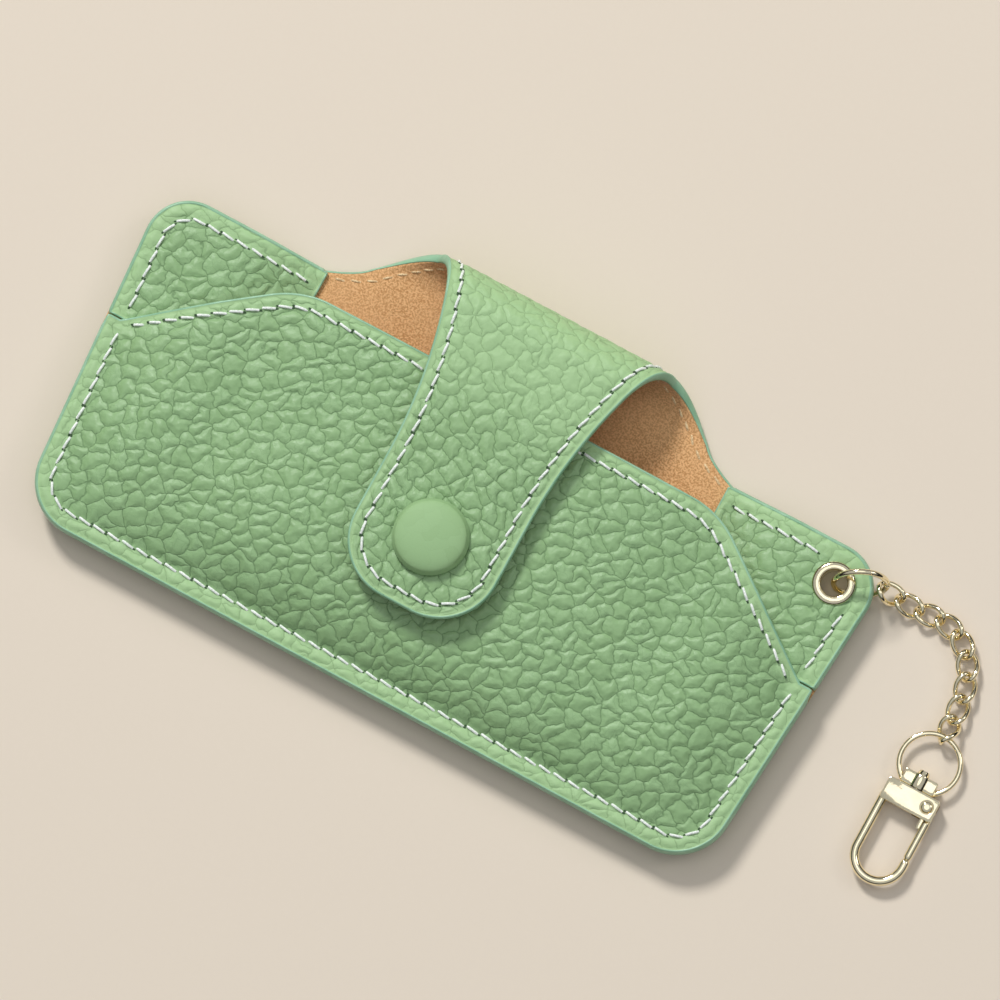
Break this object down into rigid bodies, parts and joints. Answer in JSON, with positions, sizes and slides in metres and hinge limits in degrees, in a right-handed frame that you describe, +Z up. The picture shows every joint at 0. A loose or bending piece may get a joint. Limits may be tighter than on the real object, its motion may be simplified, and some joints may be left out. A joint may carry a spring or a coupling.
{
  "type": "soft pouch glasses case",
  "caption": "Soft leather pouch case for glasses, open at the top, with a wide strap that folds over to a snap, and a short curb chain with a swivel clasp at one ear.",
  "frame": {"origin": "middle of the back's flat resting face", "axes": "+X along the case towards the ear with the eyelet, +Y towards the fold of the strap, +Z up out of the front"},
  "size_m": [0.1976, 0.0866, 0.0207],
  "materials": {
    "leather": "pebbled",
    "suede": "suede",
    "thread": "matte",
    "metal": "polished pale gold"
  },
  "bodies": {
    "pouch": {"back_panel": "leather", "back_lining": "suede", "facing_left": "leather", "facing_right": "leather", "front_panel": "leather", "front_lining": "suede", "snap_stud": "metal", "snap_stud_post": "metal", "eyelet": "metal", "eyelet_washer": "metal", "side_thread": "thread", "ear_thread": "thread", "mouth_thread": "thread"},
    "strap_strip_1": {"flap_leather_1": "leather", "flap_lining_1": "suede", "flap_thread_1": "thread"},
    "strap_strip_2": {"flap_leather_2": "leather", "flap_lining_2": "suede", "flap_thread_2": "thread"},
    "strap_strip_3": {"flap_leather_3": "leather", "flap_lining_3": "suede", "flap_thread_3": "thread"},
    "strap_tab": {"flap_leather_tab": "leather", "flap_lining_tab": "suede", "flap_thread_tab": "thread", "snap_cap": "metal", "snap_cap_cover": "leather", "snap_socket": "metal"},
    "ring": {"jump_ring": "metal"},
    "link_1": {"chain_link_1": "metal"},
    "link_2": {"chain_link_2": "metal"},
    "link_3": {"chain_link_3": "metal"},
    "link_4": {"chain_link_4": "metal"},
    "link_5": {"chain_link_5": "metal"},
    "link_6": {"chain_link_6": "metal"},
    "link_7": {"chain_link_7": "metal"},
    "link_8": {"chain_link_8": "metal"},
    "link_9": {"chain_link_9": "metal"},
    "clasp_eye": {"clasp_ring": "metal"},
    "clasp": {"clasp_block": "metal", "clasp_swivel_post": "metal", "clasp_hook": "metal", "gate_rivet": "metal", "gate_spring": "metal"},
    "gate": {"clasp_gate": "metal"}
  },
  "joints": [
    {"name": "strap_fold_1", "type": "hinge", "parent": "pouch", "child": "strap_strip_1", "pos_m": [0, 0.04431, 0.00066], "axis": [-1, 0, 0], "range_deg": [0, 42]},
    {"name": "strap_fold_2", "type": "hinge", "parent": "strap_strip_1", "child": "strap_strip_2", "pos_m": [0, 0.04899, 0.00534], "axis": [-1, 0, 0], "range_deg": [0, 42]},
    {"name": "strap_fold_3", "type": "hinge", "parent": "strap_strip_2", "child": "strap_strip_3", "pos_m": [0, 0.04899, 0.01196], "axis": [-1, 0, 0], "range_deg": [0, 42]},
    {"name": "strap_fold_4", "type": "hinge", "parent": "strap_strip_3", "child": "strap_tab", "pos_m": [0, 0.04431, 0.01664], "axis": [-1, 0, 0], "range_deg": [0, 42]},
    {"name": "ring_swing", "type": "hinge", "parent": "pouch", "child": "ring", "pos_m": [0.0743, 0.0281, 0.0046], "axis": [0, 0, 1], "range_deg": [-3, 10]},
    {"name": "link_1_turn", "type": "hinge", "parent": "ring", "child": "link_1", "pos_m": [0.08304, 0.03193, 0.00396], "axis": [0, 0, 1], "range_deg": [-4, 8]},
    {"name": "link_2_turn", "type": "hinge", "parent": "link_1", "child": "link_2", "pos_m": [0.08713, 0.03193, 0.0019], "axis": [0, 0, 1], "range_deg": [-2, 12]},
    {"name": "link_3_turn", "type": "hinge", "parent": "link_2", "child": "link_3", "pos_m": [0.09168, 0.03161, 0.00145], "axis": [0, 0, 1], "range_deg": [-2, 12]},
    {"name": "link_4_turn", "type": "hinge", "parent": "link_3", "child": "link_4", "pos_m": [0.0962, 0.03233, 0.0014], "axis": [0, 0, 1], "range_deg": [-2, 12]},
    {"name": "link_5_turn", "type": "hinge", "parent": "link_4", "child": "link_5", "pos_m": [0.10068, 0.03138, 0.0014], "axis": [0, 0, 1], "range_deg": [-2, 12]},
    {"name": "link_6_turn", "type": "hinge", "parent": "link_5", "child": "link_6", "pos_m": [0.10429, 0.02856, 0.0014], "axis": [0, 0, 1], "range_deg": [-2, 12]},
    {"name": "link_7_turn", "type": "hinge", "parent": "link_6", "child": "link_7", "pos_m": [0.10658, 0.02459, 0.0014], "axis": [0, 0, 1], "range_deg": [-2, 12]},
    {"name": "link_8_turn", "type": "hinge", "parent": "link_7", "child": "link_8", "pos_m": [0.10769, 0.02015, 0.0014], "axis": [0, 0, 1], "range_deg": [-2, 12]},
    {"name": "link_9_turn", "type": "hinge", "parent": "link_8", "child": "link_9", "pos_m": [0.10816, 0.01559, 0.0015], "axis": [0, 0, 1], "range_deg": [-2, 12]},
    {"name": "clasp_turn", "type": "hinge", "parent": "link_9", "child": "clasp_eye", "pos_m": [0.10816, 0.01105, 0.0021], "axis": [0, 0, 1], "range_deg": [-3, 8]},
    {"name": "clasp_swivel", "type": "hinge", "parent": "clasp_eye", "child": "clasp", "pos_m": [0.10816, 0.00056, 0.0021], "axis": [0, -1, 0], "continuous": true},
    {"name": "gate_hinge", "type": "hinge", "parent": "clasp", "child": "gate", "pos_m": [0.11186, -0.00256, 0.0021], "axis": [0, 0, -1], "range_deg": [0, 24], "stiffness_Nm_per_rad": 0.002}
  ]
}
